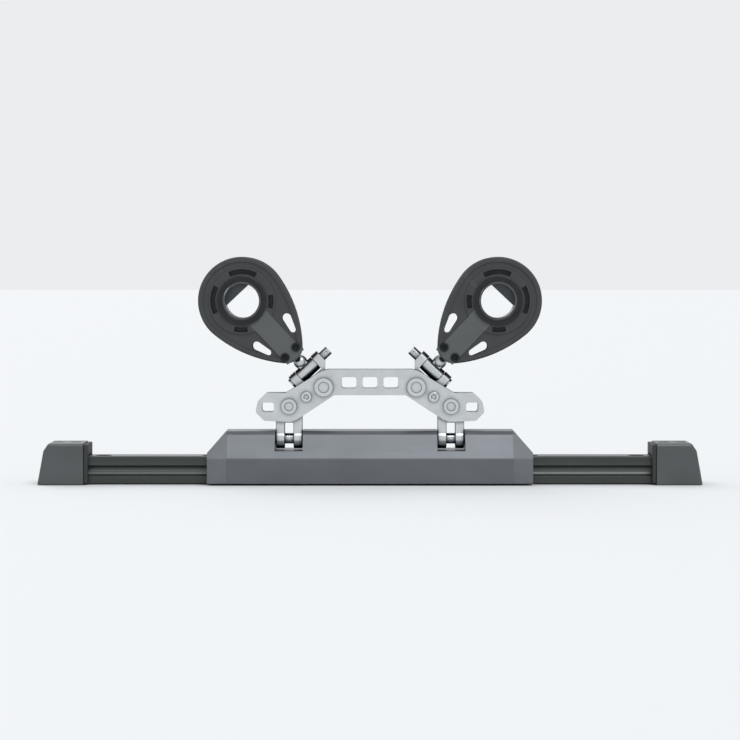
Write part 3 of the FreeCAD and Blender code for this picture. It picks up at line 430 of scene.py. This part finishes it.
def drive(piece, axis, side, across, depth):
    """Sink a hexagon socket into the outer end of each screw of a piece. The heads face along
    axis, 0 to 2, on its lower or upper side, -1 or 1; across is measured over the flats."""
    turns = ((0, math.pi / 2, 0), (math.pi / 2, 0, 0), (0, 0, 0))
    cutters = []
    for low, high in shells(piece):
        place = [(low[i] + high[i]) / 2 for i in range(3)]
        place[axis] = high[axis] if side > 0 else low[axis]
        bpy.ops.object.select_all(action="DESELECT")
        bpy.ops.mesh.primitive_cylinder_add(vertices=6, radius=across / math.sqrt(3), depth=2 * depth,
                                            location=place, rotation=turns[axis])
        cutters.append(bpy.context.object)
    for cutter in cutters:
        cutter.select_set(True)
    bpy.ops.object.join()
    cutter = bpy.context.object
    bpy.ops.object.transform_apply(location=True, rotation=True, scale=True)
    select_only(piece)
    sockets = piece.modifiers.new("Sockets", "BOOLEAN")
    sockets.object, sockets.operation, sockets.solver = cutter, "DIFFERENCE", "EXACT"
    bpy.ops.object.modifier_apply(modifier="Sockets")
    bpy.data.objects.remove(cutter)
    bpy.ops.object.shade_smooth_by_angle(angle=SHARP_EDGE)


# ---------------------------------------------------------------------------------------------
# Settings
# ---------------------------------------------------------------------------------------------

def colour_property(name, description, hex_colour):
    """A colour that a user can change, in linear values as Blender keeps them."""
    return FloatVectorProperty(name=name, description=description, subtype="COLOR", size=3,
                               min=0, max=1, default=linear(hex_colour)[:3])


def length_property(name, description, millimetres):
    """A length that a user can change."""
    return FloatProperty(name=name, description=description, unit="LENGTH", subtype="DISTANCE",
                         default=millimetres * MM, min=0)


class TravellerSizes(bpy.types.PropertyGroup):
    """How far the edges of each kind of piece are rounded, and where the camera stands."""
    casting_edge: length_property("Casting edge", "Rounding of the end stops' edges", 1.2)
    rubber_edge: length_property("Rubber edge", "Rounding of the bumpers' edges", 1.0)
    extrusion_edge: length_property("Extrusion edge", "Rounding of the track's and car's edges", 0.6)
    plate_edge: length_property("Plate edge", "Rounding of the bridge plates' edges", 1.1)
    machined_edge: length_property("Machined edge", "Rounding of turned and milled edges", 0.5)
    small_edge: length_property("Small edge", "Rounding of the bridge's small fasteners", 0.35)
    moulded_edge: length_property("Moulded edge", "Rounding of the cheeks' edges", 0.7)
    roller_edge: length_property("Roller edge", "Rounding of the bearing rollers' ends", 0.3)
    guide_edge: length_property("Guide edge", "Rounding of the ball guides' edges", 0.2)
    camera_lens: FloatProperty(name="Lens", description="Focal length of the camera, in millimetres",
                               default=135, min=20)
    camera_height: FloatProperty(name="View height", description="How far the camera looks down",
                                 subtype="ANGLE", default=math.radians(2.0))


class TravellerColours(bpy.types.PropertyGroup):
    """The colour of each finish."""
    track: colour_property("Track", "Hard-anodised track", "3f4341")
    stops: colour_property("End stops", "Anodised end stops", "55595a")
    car: colour_property("Car", "Anodised car body", "63676b")
    caps: colour_property("Car caps", "Moulded end caps of the car", "5b5f63")
    bridge: colour_property("Bridge", "Stainless bridge, toggles and links", "ced2d4")
    pins: colour_property("Pins", "Polished pins and fasteners", "d2d6d8")
    cheeks: colour_property("Cheeks", "Moulded cheeks of the blocks", "2e3132")
    straps: colour_property("Straps", "Paler band down the middle of each cheek", "4b4f4e")
    hubs: colour_property("Hubs", "Hard-anodised hubs", "4c4f51")
    sheaves: colour_property("Sheaves", "Hard-anodised sheaves", "26282a")
    bearings: colour_property("Bearings", "Balls and rollers", "3b362e")
    screws: colour_property("Black screws", "Blackened screws of the blocks", "303335")
    rings: colour_property("Hub rings", "Hard-anodised nuts round the hubs", "26282a")
    rubber: colour_property("Rubber", "Bumpers of the end stops, and the ball guides", "232526")


def sizes():
    """The sizes that the user has set."""
    return bpy.context.scene.traveller_sizes


def hex_of(name):
    """The sRGB hex value of one of the user's colours."""
    colour = getattr(bpy.context.scene.traveller_colours, name)
    channels = [c * 12.92 if c <= 0.0031308 else 1.055 * c ** (1 / 2.4) - 0.055 for c in colour]
    return "".join(f"{round(max(0, min(1, c)) * 255):02x}" for c in channels)


LEVEL_SCRATCHES = (0, 0, 0)
UPRIGHT_SCRATCHES = (0, math.pi / 2, 0)

# Each finish: what makes it, the user's colour that it takes, and its other settings.
FINISHES = {
    "hard_anodised_track_extrusion": (anodised_extrusion, "track", {"roughness": 0.36}),
    "anodised_end_stop_casting": (anodised_extrusion, "stops", {"roughness": 0.45}),
    "anodised_car_extrusion": (anodised_extrusion, "car", {"roughness": 0.42}),
    "moulded_car_cap_nylon": (filled_nylon, "caps", {"fleck_hex": "808488"}),
    "moulded_bumper_rubber": (moulded_rubber, "rubber", {}),
    "moulded_bearing_polymer": (moulded_polymer, "bearings", {"roughness": 0.3}),
    "moulded_guide_polymer": (moulded_polymer, "rubber", {"roughness": 0.5}),
    "brushed_stainless_plate": (stainless_plate, "bridge", {"turn": LEVEL_SCRATCHES}),
    "milled_stainless": (stainless_plate, "bridge", {"turn": UPRIGHT_SCRATCHES}),
    "turned_stainless_fasteners": (turned_steel, "pins", {"roughness": 0.22}),
    "blackened_stainless_screws": (turned_steel, "screws", {"roughness": 0.4}),
    "moulded_cheek_nylon": (filled_nylon, "cheeks", {"fleck_hex": "5a5e60"}),
    "turned_hub": (turned_anodised, "hubs", {"roughness": 0.38}),
    "turned_hub_ring": (turned_anodised, "rings", {"roughness": 0.42}),
    "turned_sheave": (turned_anodised, "sheaves", {"roughness": 0.34}),
}


def finish(name, side="", **placed):
    """A finish by name, made the first time that it is asked for. One that is centred on a block,
    as lathe rings are, is made for each side with its place."""
    full_name = f"{name}_{side}" if side else name
    if full_name in bpy.data.materials:
        return bpy.data.materials[full_name]
    maker, colour, settings = FINISHES[name]
    return maker(full_name, hex_of(colour), **settings, **placed)


# ---------------------------------------------------------------------------------------------
# Pieces
# ---------------------------------------------------------------------------------------------

SOCKET_ACROSS = 4 * MM


class TRAVELLER_OT_track(bpy.types.Operator):
    """Finish the track, its end stops, their bumpers and clamp screws"""
    bl_idname = "traveller.track"
    bl_label = "Track and end stops"

    def execute(self, context):
        edge = sizes()
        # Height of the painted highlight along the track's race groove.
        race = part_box("track_rail")[0][2] + 12.5 * MM
        softened("track_rail", "rail_extrusion", finish("hard_anodised_track_extrusion", race=race),
                 edge.extrusion_edge)
        for side in SIDES:
            softened("end_stop_" + side, "stop_casting_" + side, finish("anodised_end_stop_casting"),
                     edge.casting_edge, segments=4)
            softened("end_stop_bumper_" + side, "bumper_pad_" + side, finish("moulded_bumper_rubber"),
                     edge.rubber_edge)
        screws = softened("end_stop_screws", "stop_clamp_screws", finish("turned_stainless_fasteners"),
                          edge.machined_edge)
        drive(screws, axis=2, side=1, across=SOCKET_ACROSS, depth=1.4 * MM)
        return {"FINISHED"}


class TRAVELLER_OT_car(bpy.types.Operator):
    """Finish the car with its end caps, screws, tilt pins, ball trains and guides"""
    bl_idname = "traveller.car"
    bl_label = "Car"

    def execute(self, context):
        edge = sizes()
        steel = finish("turned_stainless_fasteners")
        softened("car_body", "car_extrusion", finish("anodised_car_extrusion"), edge.extrusion_edge)
        for side, outwards in zip(SIDES, (-1, 1)):
            softened("car_end_cap_" + side, "car_cap_moulding_" + side, finish("moulded_car_cap_nylon"),
                     edge.extrusion_edge)
            screws = softened("car_cap_screws_" + side, "cap_screws_" + side, steel, edge.machined_edge)
            drive(screws, axis=0, side=outwards, across=SOCKET_ACROSS, depth=3 * MM)
            softened("tilt_pin_" + side, "tilt_pin_bar_" + side, steel, edge.machined_edge)
        for face in FACES:
            softened("ball_train_" + face, "balls_" + face, finish("moulded_bearing_polymer"))
            softened("ball_guide_" + face, "guide_strip_" + face, finish("moulded_guide_polymer"),
                     edge.guide_edge)
        return {"FINISHED"}


class TRAVELLER_OT_bridge(bpy.types.Operator):
    """Finish the bridge's plates, toggles, pins, sleeves, bolts, nuts and cotters"""
    bl_idname = "traveller.bridge"
    bl_label = "Bridge and toggles"

    def execute(self, context):
        edge = sizes()
        steel = finish("turned_stainless_fasteners")
        for face in FACES:
            softened("bridge_plate_" + face, "bridge_side_" + face, finish("brushed_stainless_plate"),
                     edge.plate_edge)
        for side in SIDES:
            softened("toggle_" + side, "toggle_fork_" + side, finish("milled_stainless"),
                     edge.plate_edge)
            for pin in ("lower_pin_", "knee_pin_"):
                softened(pin + side, pin + "turned_" + side, steel, edge.machined_edge)
        for node in ("bridge_cotters", "bridge_spacers", "bridge_bolts", "bridge_nuts"):
            softened(node, node + "_turned", steel, edge.small_edge)
        return {"FINISHED"}


class TRAVELLER_OT_blocks(bpy.types.Operator):
    """Finish the two lead blocks with the links that hold them"""
    bl_idname = "traveller.blocks"
    bl_label = "Lead blocks"

    def execute(self, context):
        edge = sizes()
        milled = finish("milled_stainless")
        steel = finish("turned_stainless_fasteners")
        for side in SIDES:
            centre = joint_point(f"sheave_{side}_spin")
            knee = joint_point(f"link_{side}_swing")
            lean = math.atan2(centre.x - knee.x, centre.z - knee.z)
            nylon = finish("moulded_cheek_nylon", side, strap=(hex_of("straps"), centre, lean))
            ring = finish("turned_hub_ring", side, centre=centre)
            softened("block_link_" + side, "link_milled_" + side, milled, edge.plate_edge)
            softened("cross_pin_" + side, "cross_pin_turned_" + side, steel, edge.machined_edge)
            softened("cross_cotter_" + side, "cross_cotter_wire_" + side, steel)
            softened("head_post_" + side, "head_post_milled_" + side, milled, edge.plate_edge)
            softened("head_bolts_" + side, "head_bolts_turned_" + side,
                     finish("blackened_stainless_screws"), edge.machined_edge)
            softened("hub_" + side, "hub_turned_" + side, finish("turned_hub", side, centre=centre),
                     edge.machined_edge)
            softened("bearing_rollers_" + side, "rollers_" + side, finish("moulded_bearing_polymer"),
                     edge.roller_edge)
            softened("sheave_" + side, "sheave_turned_" + side,
                     finish("turned_sheave", side, centre=centre), edge.machined_edge)
            for face in FACES:
                softened(f"cheek_{face}_{side}", f"cheek_moulding_{face}_{side}", nylon,
                         edge.moulded_edge, dissolve=False)
                softened(f"hub_ring_{face}_{side}", f"hub_nut_{face}_{side}", ring, edge.machined_edge)
        return {"FINISHED"}


# ---------------------------------------------------------------------------------------------
# Stage
# ---------------------------------------------------------------------------------------------

FLOOR_WIDTH = 60
FLOOR_GAP = 0.5 * MM
DAYLIGHT_STRENGTH = 0.9
# Each lamp: its name, the way to it, how wide it looks in degrees, and its strength.
LAMPS = (("key_daylight", (0.25, -0.55, 0.80), 35, 1.5),
         ("back_daylight", (-0.4, 0.75, 0.6), 50, 0.9))
SENSOR_WIDTH = 36
VIEW_WIDTH = 1.12       # in lengths of the track
FARTHEST_SEEN = 100


class TRAVELLER_OT_stage(bpy.types.Operator):
    """Lay the pale floor and set the lights and the camera"""
    bl_idname = "traveller.stage"
    bl_label = "Floor, lights and camera"

    def execute(self, context):
        low, high = (Vector(corner) for corner in CAD_BOX)
        middle = (low + high) / 2
        bpy.ops.mesh.primitive_plane_add(size=FLOOR_WIDTH, location=(0, 0, -FLOOR_GAP))
        floor = context.object
        floor.name = "studio_floor"
        floor.data.materials.append(painted_floor("painted_studio_floor", "cfd1d2"))

        world = bpy.data.worlds.new("soft_daylight")
        world.use_nodes = True
        background = world.node_tree.nodes["Background"]
        background.inputs["Color"].default_value = linear("f7f8fa")
        background.inputs["Strength"].default_value = DAYLIGHT_STRENGTH
        context.scene.world = world
        for name, way, width, strength in LAMPS:
            bpy.ops.object.light_add(type="SUN", location=middle + Vector(way))
            lamp = context.object
            lamp.name = name
            lamp.data.angle, lamp.data.energy = math.radians(width), strength
            lamp.rotation_euler = (-Vector(way)).to_track_quat("-Z", "Y").to_euler()
        context.scene.view_settings.view_transform = "Standard"

        lens, height = sizes().camera_lens, sizes().camera_height
        distance = (high.x - low.x) * VIEW_WIDTH * lens / SENSOR_WIDTH
        offset = Vector((0, -math.cos(height), math.sin(height))) * distance
        bpy.ops.object.camera_add(location=middle + offset)
        camera = context.object
        camera.name = "studio_camera"
        camera.data.lens, camera.data.sensor_width = lens, SENSOR_WIDTH
        camera.data.clip_end = FARTHEST_SEEN
        camera.rotation_euler = (-offset).to_track_quat("-Z", "Y").to_euler()
        context.scene.camera = camera
        return {"FINISHED"}


# ---------------------------------------------------------------------------------------------
# Panel and run
# ---------------------------------------------------------------------------------------------

class TRAVELLER_PT_sidebar(bpy.types.Panel):
    """The traveller's steps, sizes and colours in the sidebar"""
    bl_label = "Traveller"
    bl_idname = "TRAVELLER_PT_sidebar"
    bl_space_type = "VIEW_3D"
    bl_region_type = "UI"
    bl_category = "Traveller"

    def draw(self, context):
        for operator in OPERATORS:
            self.layout.operator(operator.bl_idname)
        for settings in (context.scene.traveller_sizes, context.scene.traveller_colours):
            for name in settings.__annotations__:
                self.layout.prop(settings, name)


OPERATORS = (TRAVELLER_OT_stage, TRAVELLER_OT_track, TRAVELLER_OT_car, TRAVELLER_OT_bridge,
             TRAVELLER_OT_blocks)
CLASSES = (TravellerSizes, TravellerColours) + OPERATORS + (TRAVELLER_PT_sidebar,)


def register():
    """Make the settings, the steps and the panel known to Blender."""
    for cls in CLASSES:
        bpy.utils.register_class(cls)
    bpy.types.Scene.traveller_sizes = PointerProperty(type=TravellerSizes)
    bpy.types.Scene.traveller_colours = PointerProperty(type=TravellerColours)


def unregister():
    """Take them away again."""
    del bpy.types.Scene.traveller_sizes
    del bpy.types.Scene.traveller_colours
    for cls in reversed(CLASSES):
        bpy.utils.unregister_class(cls)


def main():
    """Make the steps known to Blender and run every step in order."""
    register()
    bpy.ops.traveller.stage()
    bpy.ops.traveller.track()
    bpy.ops.traveller.car()
    bpy.ops.traveller.bridge()
    bpy.ops.traveller.blocks()


if __name__ == "__main__":
    main()
